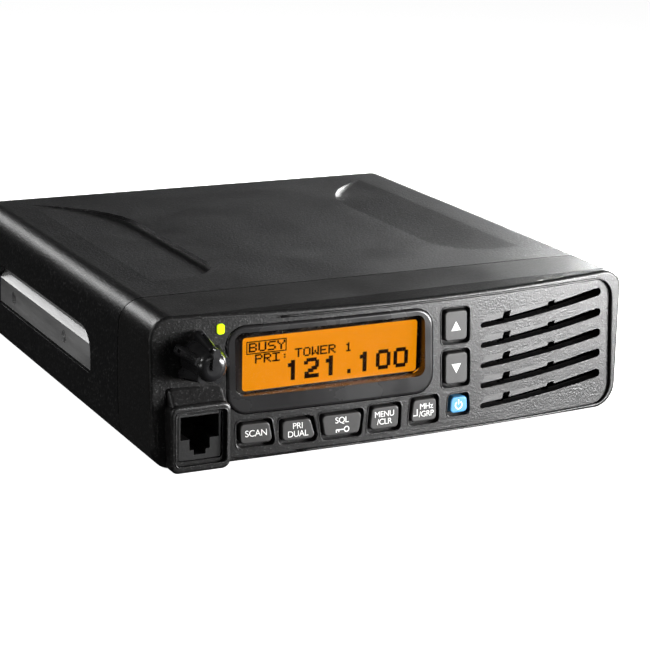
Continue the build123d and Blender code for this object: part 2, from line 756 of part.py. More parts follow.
SPEAKER_FRONT = CLOTH_DEPTH + 0.6
speaker_axis = Plane(origin=(SPEAKER_X, behind(SPEAKER_FRONT), SPEAKER_Z), x_dir=(1, 0, 0), z_dir=(0, 0, 1))


def turned(points):
    with BuildPart() as body:
        with BuildSketch(speaker_axis):
            with BuildLine():
                Polyline(*points, close=True)
            make_face()
        revolve(axis=Axis((SPEAKER_X, 0, SPEAKER_Z), (0, 1, 0)))
    return body


finish(turned([
    (SPEAKER_R - 2, 0), (SPEAKER_R, 0), (SPEAKER_R, 1.6), (SPEAKER_R - 1.2, 1.6), (9.5, 7.4), (9.5, 8.6),
    (7.0, 8.6), (7.0, 6.6), (8.4, 6.6), (SPEAKER_R - 2, 1.2)]), "speaker_frame")
finish(turned([
    (0, 4.2), (3.0, 3.6), (5.5, 5.0), (SPEAKER_R - 2.3, 0.3), (SPEAKER_R - 2.3, 0.8), (5.5, 5.6),
    (0, 5.0)]), "speaker_cone")
finish(turned([(0, 8.7), (9.0, 8.7), (9.0, 13.2), (0, 13.2)]), "speaker_magnet")

# ---- sleeve that wraps the chassis --------------------------------------------------------------
SLEEVE_BACK = DEPTH - SINK_PLATE


def scoop(side):
    """Hollow in the top whose floor rises outwards until it meets the top face."""
    with BuildPart() as hollow:
        with BuildSketch(Plane.XZ.offset(-behind(SCOOP_FRONT + SCOOP_LENGTH))):
            with BuildLine():
                Polyline(
                    (side * SCOOP_X, HEIGHT - SCOOP_DEPTH),
                    (side * (SCOOP_X + SCOOP_RUN), HEIGHT),
                    (side * (SCOOP_X + SCOOP_RUN), HEIGHT + 2),
                    (side * (SCOOP_X - 1), HEIGHT + 2),
                    (side * (SCOOP_X - 1), HEIGHT - SCOOP_DEPTH), close=True)
            make_face()
        extrude(amount=SCOOP_LENGTH)
        with BuildSketch(level(HEIGHT - 5)):
            with Locations((side * (SCOOP_X + 50), behind(SCOOP_FRONT + SCOOP_LENGTH / 2))):
                Rectangle(100, SCOOP_LENGTH)
            fillet(vertices().group_by(Axis.Y)[-1], SCOOP_SWEEP)
            fillet(vertices().group_by(Axis.Y)[0], SCOOP_CORNER)
        extrude(amount=10, mode=Mode.INTERSECT)
    return hollow.part


def rail_window(side):
    with BuildPart() as window:
        with BuildSketch(Plane.YZ.offset(side * (WIDTH / 2 - WALL - 0.5) - 5)):
            with Locations((behind(WINDOW_FRONT + WINDOW_LENGTH / 2), (WINDOW_LOW + WINDOW_HIGH) / 2)):
                Rectangle(WINDOW_LENGTH, WINDOW_HIGH - WINDOW_LOW)
            fillet(vertices().group_by(Axis.Y)[-1], WINDOW_CORNER)
            fillet(vertices().group_by(Axis.Y)[0], 1.6)
        extrude(amount=10)
    return window.part


SCREW_PLACES = [(x, behind(y)) for x in (-58, 58) for y in (52, 140)]
with BuildPart() as case_sleeve:
    with BuildSketch(facing(SLEEVE_BACK)):
        case_outline(0, CORNER)
    extrude(amount=SLEEVE_BACK - SEAM_DEPTH)
    with BuildSketch(facing(SLEEVE_BACK)):
        case_outline(WALL, CORNER - WALL)
    extrude(amount=SLEEVE_BACK - SEAM_DEPTH, mode=Mode.SUBTRACT)
    add(SEAM_CLEAR, mode=Mode.SUBTRACT)
    with BuildSketch(level(-1)):
        with Locations((0, behind((TRAY_FRONT + SLEEVE_BACK) / 2 + 3))):
            Rectangle(PLATE_WIDTH + 2 * FIT, SLEEVE_BACK - TRAY_FRONT + 6)
    extrude(amount=WALL + 2, mode=Mode.SUBTRACT)
    for side in (-1, 1):
        add(rail_window(side), mode=Mode.SUBTRACT)
        add(scoop(side), mode=Mode.SUBTRACT)
finish(case_sleeve, "case_sleeve")

PLATE_FRONT = TRAY_FRONT + FIT
with BuildPart() as bottom_plate:
    with BuildSketch(level(0)):
        with Locations((0, behind((PLATE_FRONT + SLEEVE_BACK) / 2))):
            RectangleRounded(PLATE_WIDTH, SLEEVE_BACK - PLATE_FRONT, 2)
    extrude(amount=PLATE_THICK)
    with Locations(Plane.XY):
        with Locations(*[Location((x, y, 0), (180, 0, 0)) for x, y in SCREW_PLACES]):
            CounterSinkHole(1.65, 3.1, counter_sink_angle=90)
finish(bottom_plate, "bottom_plate")

# ---- die-cast chassis ---------------------------------------------------------------------------
TRAY_GAP = WALL + FIT
TRAY_HALF = WIDTH / 2 - TRAY_GAP
BLOCK_FRONT = 152.0
RAIL_INNER = 4.5
AERIAL_PLACE = (-54.0, 26.0)
JACK_PLACE = (-36.0, 12.0)
DATA_PLACE = (24.0, 14.0)
DATA_LOCK_PITCH = 33.3
DATA_LOCK_R = 1.6
POWER_PLACE = (60.0, 14.0)
FIN_SPAN = (-28.0, 72.0)
FIN_LOW = 23.0


def rail_section(side):
    outer = WIDTH / 2 - RAIL_INSET
    points = [
        (TRAY_HALF - 1, WINDOW_LOW + 0.7), (outer, WINDOW_LOW + 0.7), (outer, RAIL_CREASE),
        (WIDTH / 2 - RAIL_TOP_INSET, WINDOW_HIGH - 0.5), (TRAY_HALF - 2.8, WINDOW_HIGH - 0.5),
        (TRAY_HALF - 2.8, WINDOW_LOW + 0.7)]
    return [(side * x, z) for x, z in points]


with BuildPart() as chassis:
    with BuildSketch(facing(SLEEVE_BACK)):
        case_outline(TRAY_GAP, CORNER - TRAY_GAP)
    extrude(amount=SLEEVE_BACK - TRAY_FRONT)
    with BuildSketch(facing(BLOCK_FRONT)):
        with Locations((0, TRAY_GAP + TRAY_FLOOR + 25)):
            Rectangle(2 * (TRAY_HALF - TRAY_SIDE), 50)
        with Locations((0, TRAY_HEIGHT + 25)):
            Rectangle(WIDTH, 50)
    extrude(amount=BLOCK_FRONT, mode=Mode.SUBTRACT)
    with BuildSketch(facing(DEPTH)):
        case_outline(0.8, CORNER - 0.8)
    extrude(amount=SINK_PLATE - FIT)
    with BuildSketch(facing(SLEEVE_BACK + FIT)):
        case_outline(TRAY_GAP, CORNER - TRAY_GAP)
    extrude(amount=FIT + 1)
    for side in (-1, 1):
        with BuildSketch(facing(WINDOW_FRONT + WINDOW_LENGTH - RAIL_GAP)):
            with BuildLine():
                Polyline(*rail_section(side), close=True)
            make_face()
        extrude(amount=WINDOW_LENGTH - 2 * RAIL_GAP)
        with BuildSketch(facing(BLOCK_FRONT)):
            with Locations((side * (TRAY_HALF - TRAY_SIDE - RAIL_INNER / 2 + 0.5), MOUNT_HOLE_Z)):
                Rectangle(RAIL_INNER + 1, 10)
        extrude(amount=BLOCK_FRONT - TRAY_FRONT)
    with Locations(*[(x, y, PLATE_THICK + 3) for x, y in SCREW_PLACES]):
        Cylinder(4.0, 6.0)
    with BuildSketch(level(TRAY_GAP)):
        with Locations(*[(x, behind(y)) for x in (-62, 0, 62) for y in (42, 142)]):
            Circle(3.2)
    extrude(amount=MAIN_BOARD_Z - TRAY_GAP)
    # holes for the plate screws and the mounting bracket
    with BuildSketch(level(PLATE_THICK)):
        with Locations(*SCREW_PLACES):
            Circle(1.25)
    extrude(amount=6.0, mode=Mode.SUBTRACT)
    for side in (-1, 1):
        outer = Plane.YZ.offset(side * (WIDTH / 2 - RAIL_INSET))
        with BuildSketch(outer):
            with Locations(*[(behind(MOUNT_HOLE_FRONT + step * MOUNT_HOLE_PITCH), MOUNT_HOLE_Z)
                             for step in (0, 1)]):
                Circle(MOUNT_HOLE_R)
        extrude(amount=-side * MOUNT_HOLE_DEPTH, mode=Mode.SUBTRACT)
    # cooling slots, open at the top and the back
    pitch = (FIN_SPAN[1] - FIN_SPAN[0]) / FIN_COUNT
    with BuildSketch(facing(DEPTH)):
        for number in range(FIN_COUNT + 1):
            with Locations((FIN_SPAN[0] + number * pitch, (FIN_LOW + HEIGHT) / 2 + 3)):
                Rectangle(FIN_SLOT, HEIGHT - FIN_LOW + 6)
    extrude(amount=SINK_PLATE - FIT - 0.4, mode=Mode.SUBTRACT)
    with BuildSketch(facing(DEPTH)):
        with Locations(AERIAL_PLACE):
            Circle(6.2)
        with Locations(JACK_PLACE):
            Circle(3.1)
        with Locations(DATA_PLACE):
            RectangleRounded(26.6, 9.6, 2)
        with Locations(POWER_PLACE):
            RectangleRounded(16.4, 12.4, 1)
    extrude(amount=DEPTH - BLOCK_FRONT + 1, mode=Mode.SUBTRACT)
    with BuildSketch(facing(DEPTH)):
        with Locations(DATA_PLACE):
            with GridLocations(DATA_LOCK_PITCH, 0, 2, 1):
                Circle(DATA_LOCK_R)
    extrude(amount=6, mode=Mode.SUBTRACT)
finish(chassis, "chassis")

# ---- sockets on the back ------------------------------------------------------------------------


def rear_disc(place, radius, start, length, hole=0.0):
    """Round piece that stands out behind the heat sink, from start on."""
    with BuildPart() as disc:
        with BuildSketch(facing(DEPTH + start)):
            with Locations(place):
                Circle(radius)
                if hole:
                    Circle(hole, mode=Mode.SUBTRACT)
        extrude(amount=-length)
    return disc.part


AERIAL_FLANGE = 25.4
AERIAL_THREAD_R = 7.9
AERIAL_BORE_R = 6.0
AERIAL_CONTACT_R = 2.0
FLANGE_SCREW = 18.3
with BuildPart() as aerial_socket:
    with BuildSketch(facing(DEPTH)):
        with Locations(AERIAL_PLACE):
            RectangleRounded(AERIAL_FLANGE, AERIAL_FLANGE, 2)
    extrude(amount=-2.0)
    add(rear_disc(AERIAL_PLACE, AERIAL_THREAD_R, 1.0, AERIAL_REACH - 1.0))
    add(rear_disc(AERIAL_PLACE, 6.0, -12.0, 12.5))
    with BuildSketch(facing(DEPTH - 12)):
        with Locations(AERIAL_PLACE):
            Circle(4.6)
    extrude(amount=-30, mode=Mode.SUBTRACT)
    add(rear_disc(AERIAL_PLACE, AERIAL_BORE_R, AERIAL_REACH - 8.0, 9.0), mode=Mode.SUBTRACT)
    with BuildSketch(facing(DEPTH)):
        with Locations(AERIAL_PLACE):
            with GridLocations(FLANGE_SCREW, FLANGE_SCREW, 2, 2):
                Circle(1.3)
    extrude(amount=-4, mode=Mode.SUBTRACT)
finish(aerial_socket, "aerial_socket")
with BuildPart() as aerial_insulator:
    add(rear_disc(AERIAL_PLACE, 4.6, -12.0, 12.0 + AERIAL_REACH - 8.0, 2.9))
finish(aerial_insulator, "aerial_insulator")
with BuildPart() as aerial_contact:
    add(rear_disc(AERIAL_PLACE, 2.9, -14.0, 14.0 + AERIAL_REACH - 1.5))
    with BuildSketch(facing(DEPTH + AERIAL_REACH - 11.5)):
        with Locations(AERIAL_PLACE):
            Circle(AERIAL_CONTACT_R)
    extrude(amount=-12, mode=Mode.SUBTRACT)
finish(aerial_contact, "aerial_contact")
with BuildPart() as flange_screws:
    with BuildSketch(facing(DEPTH + 2.0)):
        with Locations(AERIAL_PLACE):
            with GridLocations(FLANGE_SCREW, FLANGE_SCREW, 2, 2):
                Circle(2.3)
    extrude(amount=-1.3)
    fillet(edges().group_by(Axis.Y)[-1], 0.5)
    with BuildSketch(facing(DEPTH)):
        with Locations(AERIAL_PLACE):
            with GridLocations(FLANGE_SCREW, FLANGE_SCREW, 2, 2):
                Circle(1.3)
    extrude(amount=-2.0)
    with BuildSketch(facing(DEPTH + 2.6)):
        with Locations(AERIAL_PLACE):
            with GridLocations(FLANGE_SCREW, FLANGE_SCREW, 2, 2):
                Rectangle(2.6, 0.6)
                Rectangle(0.6, 2.6)
    extrude(amount=-2, mode=Mode.SUBTRACT)
finish(flange_screws, "flange_screws")

PHONE_BORE_R = 1.8
with BuildPart() as speaker_jack:
    add(rear_disc(JACK_PLACE, 3.0, -14.0, 14.5, PHONE_BORE_R))
    add(rear_disc(JACK_PLACE, 4.6, 0.0, 1.6, PHONE_BORE_R))
finish(speaker_jack, "speaker_jack")

DATA_SHELL = (25.4, 8.4)
with BuildPart() as data_socket:
    with BuildSketch(facing(DEPTH)):
        with Locations(DATA_PLACE):
            RectangleRounded(39.2, 12.5, 1.5)
            with GridLocations(DATA_LOCK_PITCH, 0, 2, 1):
                Circle(DATA_LOCK_R, mode=Mode.SUBTRACT)
    extrude(amount=-0.8)
    with BuildSketch(facing(DEPTH)):
        with Locations(DATA_PLACE):
            Trapezoid(DATA_SHELL[0], DATA_SHELL[1], 80)
        fillet(vertices(), 1.6)
    extrude(amount=-6.4)
    with BuildSketch(facing(DEPTH)):
        with Locations(DATA_PLACE):
            Trapezoid(DATA_SHELL[0] - 0.8, DATA_SHELL[1] - 0.8, 80)
        fillet(vertices(), 1.2)
    extrude(amount=-8, mode=Mode.SUBTRACT)
finish(data_socket, "data_socket")
with BuildPart() as data_insert:
    with BuildSketch(facing(DEPTH - 6)):
        with Locations(DATA_PLACE):
            Trapezoid(DATA_SHELL[0] - 0.8, DATA_SHELL[1] - 0.8, 80)
        fillet(vertices(), 1.2)
    extrude(amount=-12.2)
    with BuildSketch(facing(DEPTH + 7)):
        for count, row_z in ((8, 1.42), (7, -1.42)):
            with Locations((DATA_PLACE[0], DATA_PLACE[1] + row_z)):
                with GridLocations(2.74, 0, count, 1):
                    Circle(0.55)
    extrude(amount=5, mode=Mode.SUBTRACT)
finish(data_insert, "data_insert")

POWER_OUTER = (16.0, 12.0)
POWER_INNER = (12.6, 8.6)
with BuildPart() as power_socket:
    with BuildSketch(facing(DEPTH - 10)):
        with Locations(POWER_PLACE):
            RectangleRounded(*POWER_OUTER, 1)
    extrude(amount=-18.0)
    with BuildSketch(facing(DEPTH)):
        with Locations(POWER_PLACE):
            RectangleRounded(20, 15, 1.5)
    extrude(amount=-1.6)
    with BuildSketch(facing(DEPTH - 2)):
        with Locations(POWER_PLACE):
            RectangleRounded(*POWER_INNER, 0.6)
    extrude(amount=-20, mode=Mode.SUBTRACT)
    with BuildSketch(facing(DEPTH - 10)):
        with Locations(POWER_PLACE):
            with GridLocations(7.6, 0, 2, 1):
                Rectangle(0.8, 4.8)
    extrude(amount=-12, mode=Mode.SUBTRACT)
finish(power_socket, "power_socket")
with BuildPart() as power_blades:
    with BuildSketch(facing(DEPTH - 13)):
        with Locations(POWER_PLACE):
            with GridLocations(7.6, 0, 2, 1):
                Rectangle(0.8, 4.8)
    extrude(amount=-19)
finish(power_blades, "power_blades")

# ---- boards and what stands on them -------------------------------------------------------------
with BuildPart() as front_board:
    with BuildSketch(facing(POT_FRONT)):
        with Locations(((BOARD_X[0] + BOARD_X[1]) / 2, HEIGHT / 2)):
            RectangleRounded(BOARD_X[1] - BOARD_X[0], 35, 2)
        with Locations((KNOB_X, KNOB_Z)):
            Circle(BUSH_R, mode=Mode.SUBTRACT)
    extrude(amount=BOARD)
finish(front_board, "front_board")

MAIN_TOP = MAIN_BOARD_Z + BOARD
MAIN_FRONT = TRAY_FRONT + 3
MAIN_BACK = BLOCK_FRONT - 2
RAIL_CLEAR = 2 * (TRAY_HALF - TRAY_SIDE - RAIL_INNER) - 3
with BuildPart() as main_board:
    with BuildSketch(level(MAIN_BOARD_Z)):
        with Locations((0, behind((MAIN_FRONT + MAIN_BACK) / 2))):
            RectangleRounded(RAIL_CLEAR, MAIN_BACK - MAIN_FRONT, 2)
    extrude(amount=BOARD)
finish(main_board, "main_board")


def board_block(name, x, front, wide, deep, high, wall=0.0):
    with BuildPart() as block:
        with BuildSketch(level(MAIN_TOP)):
            with Locations((x, behind(front + deep / 2))):
                RectangleRounded(wide, deep, 1.2)
        extrude(amount=high)
        if wall:
            with BuildSketch(level(MAIN_TOP)):
                with Locations((x, behind(front + deep / 2))):
                    RectangleRounded(wide - 2 * wall, deep - 2 * wall, 0.8)
            extrude(amount=high - wall, mode=Mode.SUBTRACT)
    finish(block, name)


board_block("receiver_can", -36, 44, 46, 40, 8.0, 0.5)
board_block("synthesizer_can", 20, 44, 38, 30, 8.0, 0.5)
board_block("filter_can", -42, 94, 34, 26, 10.0, 0.5)
board_block("output_module", 4, 124, 60, 20, 9.0)

with BuildPart() as capacitors:
    with BuildSketch(level(MAIN_TOP)):
        with Locations(*[(x, behind(y)) for x in (50, 62) for y in (92, 106, 120)]):
            Circle(5.0)
    extrude(amount=18.0)
    fillet(edges().group_by(Axis.Z)[-1], 0.8)
finish(capacitors, "capacitors")

with BuildPart() as ribbon_cable:
    ribbon_wide = 24.0
    with BuildSketch(Plane.YZ.offset(-ribbon_wide / 2)):
        with BuildLine():
            ribbon = FilletPolyline(
                (behind(POT_FRONT), 34), (behind(POT_FRONT + 7), 34), (behind(POT_FRONT + 7), 24),
                (behind(MAIN_FRONT + 2), 24), (behind(MAIN_FRONT + 2), MAIN_TOP), radius=2.0)
        trace(ribbon, line_width=0.4)
    extrude(amount=ribbon_wide)
finish(ribbon_cable, "ribbon_cable")

# ---- screws that hold the bottom plate ----------------------------------------------------------
with BuildPart() as plate_screws:
    for screw_x, screw_y in SCREW_PLACES:
        with BuildSketch(Plane(origin=(screw_x, screw_y, 0), x_dir=(1, 0, 0), z_dir=(0, -1, 0))):
            with BuildLine():
                Polyline((0, 0.1), (2.65, 0.1), (1.25, PLATE_THICK), (1.25, 6.0), (0, 6.0), close=True)
            make_face()
        revolve(axis=Axis((screw_x, screw_y, 0), (0, 0, 1)))
    with BuildSketch(level(0.1)):
        with Locations(*SCREW_PLACES):
            Rectangle(3.2, 0.7)
            Rectangle(0.7, 3.2)
    extrude(amount=0.8, mode=Mode.SUBTRACT)
finish(plate_screws, "plate_screws")

# ---- frame between the panel and the chassis ----------------------------------------------------
FRAME_FRONT = 22.0
FRAME_WALL = 2.0
with BuildPart() as panel_frame:
    with BuildSketch(facing(TRAY_FRONT)):
        case_outline(PANEL_WALL, CORNER - PANEL_WALL)
        with Locations((0, HEIGHT / 2)):
            RectangleRounded(
                WIDTH - 2 * (PANEL_WALL + FRAME_WALL), HEIGHT - 2 * (PANEL_WALL + FRAME_WALL),
                CORNER - PANEL_WALL - FRAME_WALL, mode=Mode.SUBTRACT)
    extrude(amount=TRAY_FRONT - FRAME_FRONT)
finish(panel_frame, "panel_frame")
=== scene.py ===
"""Looks of the air-band transceiver: finishes, display, legends and small detail round the CAD frame."""
import json
import math

import bmesh
import bpy
from mathutils import Matrix, Vector
from mathutils.bvhtree import BVHTree


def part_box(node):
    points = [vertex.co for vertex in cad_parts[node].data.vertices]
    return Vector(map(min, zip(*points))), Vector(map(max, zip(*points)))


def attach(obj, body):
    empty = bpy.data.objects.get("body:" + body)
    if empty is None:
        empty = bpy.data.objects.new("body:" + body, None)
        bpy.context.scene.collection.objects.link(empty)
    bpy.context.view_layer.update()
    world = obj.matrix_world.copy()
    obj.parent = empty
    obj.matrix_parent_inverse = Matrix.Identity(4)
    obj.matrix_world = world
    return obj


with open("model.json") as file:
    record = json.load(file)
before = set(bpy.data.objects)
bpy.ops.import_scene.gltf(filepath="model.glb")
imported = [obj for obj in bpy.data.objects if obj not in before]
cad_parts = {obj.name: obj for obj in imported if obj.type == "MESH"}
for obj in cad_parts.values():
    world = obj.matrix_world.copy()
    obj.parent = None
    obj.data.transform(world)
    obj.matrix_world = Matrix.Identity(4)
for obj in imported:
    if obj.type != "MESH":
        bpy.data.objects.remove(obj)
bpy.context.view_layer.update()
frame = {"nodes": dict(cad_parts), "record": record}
NODES = frame["nodes"]
MM = 0.001

# ---- camera: the photograph's viewing angle ------------------------------------------------------
AZIMUTH = -26.22
ELEVATION = 15.46
ROLL = 1.23
CAMERA_PLACE = Vector((-0.28646, -0.61467, 0.20112))
LENS = 116.0
SENSOR = 36.0
CLIP_START = 0.01


def make_camera():
    bpy.context.scene.view_settings.view_transform = "Standard"
    azimuth, elevation, roll = (math.radians(a) for a in (AZIMUTH, ELEVATION, ROLL))
    back = Vector((
        math.sin(azimuth) * math.cos(elevation),
        -math.cos(azimuth) * math.cos(elevation),
        math.sin(elevation)))
    right = (-back).cross(Vector((0, 0, 1))).normalized()
    up = right.cross(-back)
    turned_right = math.cos(roll) * right + math.sin(roll) * up
    turned_up = -math.sin(roll) * right + math.cos(roll) * up
    camera = bpy.data.objects.new("camera", bpy.data.cameras.new("camera"))
    bpy.context.scene.collection.objects.link(camera)
    camera.data.lens = LENS
    camera.data.sensor_width = SENSOR
    camera.data.clip_start = CLIP_START
    axes = Matrix((turned_right, turned_up, back)).transposed().to_4x4()
    camera.matrix_world = Matrix.Translation(CAMERA_PLACE) @ axes
    bpy.context.scene.camera = camera


# ---- light and floor ----------------------------------------------------------------------------
LIGHTS = {
    # name: place, aimed at, width, height, watts, spread in degrees
    "overhead": ((0.0, 0.2, 1.50), (0.0, 0.0, 0.0), 1.60, 1.60, 0.4, 180),
    "softbox_right_end": ((0.72, -0.42, 0.09), (0.08, -0.08, 0.02), 0.34, 0.17, 3.9, 120),
    "softbox_front": ((0.58, -0.62, 0.09), (0.06, -0.08, 0.02), 0.30, 0.17, 4.1, 120),
    "softbox_middle": ((0.40, -0.76, 0.09), (0.0, -0.08, 0.02), 0.30, 0.17, 0.8, 120),
    "softbox_rear": ((0.62, 0.44, 0.15), (0.07, 0.0, 0.045), 0.24, 0.16, 3.4, 60),
    "strip_back": ((-0.34, 0.85, 0.46), (-0.04, 0.0, 0.03), 0.40, 0.10, 0.9, 120),
    "strip_left": ((-0.80, 0.10, 0.60), (-0.06, -0.02, 0.03), 0.60, 0.10, 0.9, 120),
    "strip_front": ((-0.20, -0.95, 0.55), (-0.03, -0.09, 0.03), 0.50, 0.06, 0.15, 120),
    "softbox_left": ((-0.85, -0.25, 0.10), (-0.08, 0.0, 0.03), 0.40, 0.15, 0.3, 120),
}
WORLD_GREY = 0.02
FLOOR_GLOW = 0.93
FLOOR_HALF = 4.0


def make_light(name, place, target, wide, high, watts, spread):
    light = bpy.data.lights.new(name, "AREA")
    light.shape = "RECTANGLE"
    light.size = wide
    light.size_y = high
    light.energy = watts
    light.spread = math.radians(spread)
    lamp = bpy.data.objects.new(name, light)
    bpy.context.scene.collection.objects.link(lamp)
    lamp.location = place
    lamp.rotation_euler = (Vector(target) - Vector(place)).to_track_quat("-Z", "Y").to_euler()


def make_stage():
    """Dark world over a white floor that only the camera sees, so it stays out of the reflections."""
    world = bpy.data.worlds.new("studio")
    world.use_nodes = True
    background = world.node_tree.nodes["Background"]
    background.inputs["Color"].default_value = (WORLD_GREY, WORLD_GREY, WORLD_GREY, 1)
    bpy.context.scene.world = world
    mesh = bpy.data.meshes.new("floor")
    corners = [(x * FLOOR_HALF, y * FLOOR_HALF, 0) for x, y in ((-1, -1), (1, -1), (1, 1), (-1, 1))]
    mesh.from_pydata(corners, [], [(0, 1, 2, 3)])
    floor = bpy.data.objects.new("floor", mesh)
    bpy.context.scene.collection.objects.link(floor)
    paper = finish_material("floor_paper", (0.90, 0.90, 0.90), 0.8, grain=(300, 0.02))
    glow = paper.node_tree.nodes["Principled BSDF"].inputs
    glow["Emission Color"].default_value = (1, 1, 1, 1)
    glow["Emission Strength"].default_value = FLOOR_GLOW
    mesh.materials.append(paper)
    floor.visible_diffuse = False
    floor.visible_glossy = False
    floor.visible_transmission = False


# ---- materials ----------------------------------------------------------------------------------
COAT_ROUGHNESS = 0.12
GRAIN_DEPTH = 0.0004
GLINT_SPECK_FROM = 0.60            # noise value at which a light speck begins; the specks are partly flecks of the finish, partly painted glints
GLINT_SPECK_FULL = 0.78


def finish_material(
    name, colour, roughness, metallic=0.0, grain=None, mottle=None, speck_and_glint=None, coat=0.0, specular=0.5,
    smudge=None, stretch=None,
):
    """A surface with fine grain in its bump, slow mottling and light specks in its colour and smudges in
    its roughness; the specks are partly painted glints.

    grain is (features per metre, height), mottle (features per metre, share), speck (features per metre,
    share of light points, partly flecks of the finish and partly painted glints), smudge (features per
    metre, change of roughness) and stretch the scale of the grain along each axis, for brushed metal.
    """
    material = bpy.data.materials.new(name)
    material.use_nodes = True
    tree = material.node_tree
    nodes, links = tree.nodes, tree.links
    shader = nodes["Principled BSDF"]
    shader.inputs["Base Color"].default_value = (*colour, 1)
    shader.inputs["Roughness"].default_value = roughness
    shader.inputs["Metallic"].default_value = metallic
    shader.inputs["Coat Weight"].default_value = coat
    shader.inputs["Coat Roughness"].default_value = COAT_ROUGHNESS
    shader.inputs["Specular IOR Level"].default_value = specular
    place = nodes.new("ShaderNodeTexCoord")
    source = place.outputs["Object"]
    if stretch:
        mapping = nodes.new("ShaderNodeMapping")
        mapping.inputs["Scale"].default_value = stretch
        links.new(source, mapping.inputs["Vector"])
        source = mapping.outputs["Vector"]
    colour_out = None
    if mottle:
        slow = nodes.new("ShaderNodeTexNoise")
        slow.inputs["Scale"].default_value = mottle[0]
        slow.inputs["Detail"].default_value = 4.0
        links.new(source, slow.inputs["Vector"])
        ramp = nodes.new("ShaderNodeValToRGB")
        ramp.color_ramp.elements[0].position = 0.3
        ramp.color_ramp.elements[1].position = 0.7
        ramp.color_ramp.elements[0].color = (*[c * (1 - mottle[1]) for c in colour], 1)
        ramp.color_ramp.elements[1].color = (*[min(1.0, c * (1 + mottle[1])) for c in colour], 1)
        links.new(slow.outputs["Fac"], ramp.inputs["Fac"])
        colour_out = ramp.outputs["Color"]
    # light specks added to the base colour: partly the finish's own flecks, partly painted glints in
    # place of the glints of its grain
    if speck_and_glint:
        points = nodes.new("ShaderNodeTexNoise")
        points.inputs["Scale"].default_value = speck_and_glint[0]
        points.inputs["Detail"].default_value = 1.0
        links.new(source, points.inputs["Vector"])
        speck_glint_ramp = nodes.new("ShaderNodeValToRGB")
        speck_glint_ramp.color_ramp.elements[0].position = GLINT_SPECK_FROM
        speck_glint_ramp.color_ramp.elements[1].position = GLINT_SPECK_FULL
        speck_glint_ramp.color_ramp.elements[0].color = (0, 0, 0, 1)
        speck_glint_ramp.color_ramp.elements[1].color = (speck_and_glint[1], speck_and_glint[1], speck_and_glint[1], 1)
        links.new(points.outputs["Fac"], speck_glint_ramp.inputs["Fac"])
        speck_glint_mix = nodes.new("ShaderNodeMix")
        speck_glint_mix.data_type = "RGBA"
        speck_glint_mix.blend_type = "ADD"
        speck_glint_mix.inputs["Factor"].default_value = 1.0
        if colour_out:
            links.new(colour_out, speck_glint_mix.inputs["A"])
        else:
            speck_glint_mix.inputs["A"].default_value = (*colour, 1)
        links.new(speck_glint_ramp.outputs["Color"], speck_glint_mix.inputs["B"])
        colour_out = speck_glint_mix.outputs["Result"]
    if colour_out:
        links.new(colour_out, shader.inputs["Base Color"])
    if smudge:
        wear = nodes.new("ShaderNodeTexNoise")
        wear.inputs["Scale"].default_value = smudge[0]
        wear.inputs["Detail"].default_value = 5.0
        links.new(source, wear.inputs["Vector"])
        spread = nodes.new("ShaderNodeMapRange")
        spread.inputs["From Min"].default_value = 0.3
        spread.inputs["From Max"].default_value = 0.7
        spread.inputs["To Min"].default_value = max(0.02, roughness - smudge[1])
        spread.inputs["To Max"].default_value = min(1.0, roughness + smudge[1])
        links.new(wear.outputs["Fac"], spread.inputs["Value"])
        links.new(spread.outputs["Result"], shader.inputs["Roughness"])
    if grain:
        fine = nodes.new("ShaderNodeTexNoise")
        fine.inputs["Scale"].default_value = grain[0]
        fine.inputs["Detail"].default_value = 3.0
        fine.inputs["Roughness"].default_value = 0.55
        links.new(source, fine.inputs["Vector"])
        bump = nodes.new("ShaderNodeBump")
        bump.inputs["Strength"].default_value = grain[1]
        bump.inputs["Distance"].default_value = GRAIN_DEPTH
        links.new(fine.outputs["Fac"], bump.inputs["Height"])
        links.new(bump.outputs["Normal"], shader.inputs["Normal"])
    return material


def glow_material(name, colour, strength, body=None):
    """A lit surface with hardly any gloss, so that the lamps don't wash its colour out."""
    material = finish_material(name, body or colour, 0.35, mottle=(60, 0.06))
    shader = material.node_tree.nodes["Principled BSDF"]
    shader.inputs["Emission Color"].default_value = (*colour, 1)
    shader.inputs["Emission Strength"].default_value = strength
    shader.inputs["Specular IOR Level"].default_value = 0.05
    return material


def window_material():
    """Clear plastic with a faint smear of wear in its gloss."""
    material = finish_material("clear_window", (1, 1, 1), 0.04, smudge=(120, 0.03), grain=(60, 0.01))
    shader = material.node_tree.nodes["Principled BSDF"]
    shader.inputs["Transmission Weight"].default_value = 1.0
    shader.inputs["IOR"].default_value = 1.49
    shader.inputs["Specular IOR Level"].default_value = 0.15
    return material


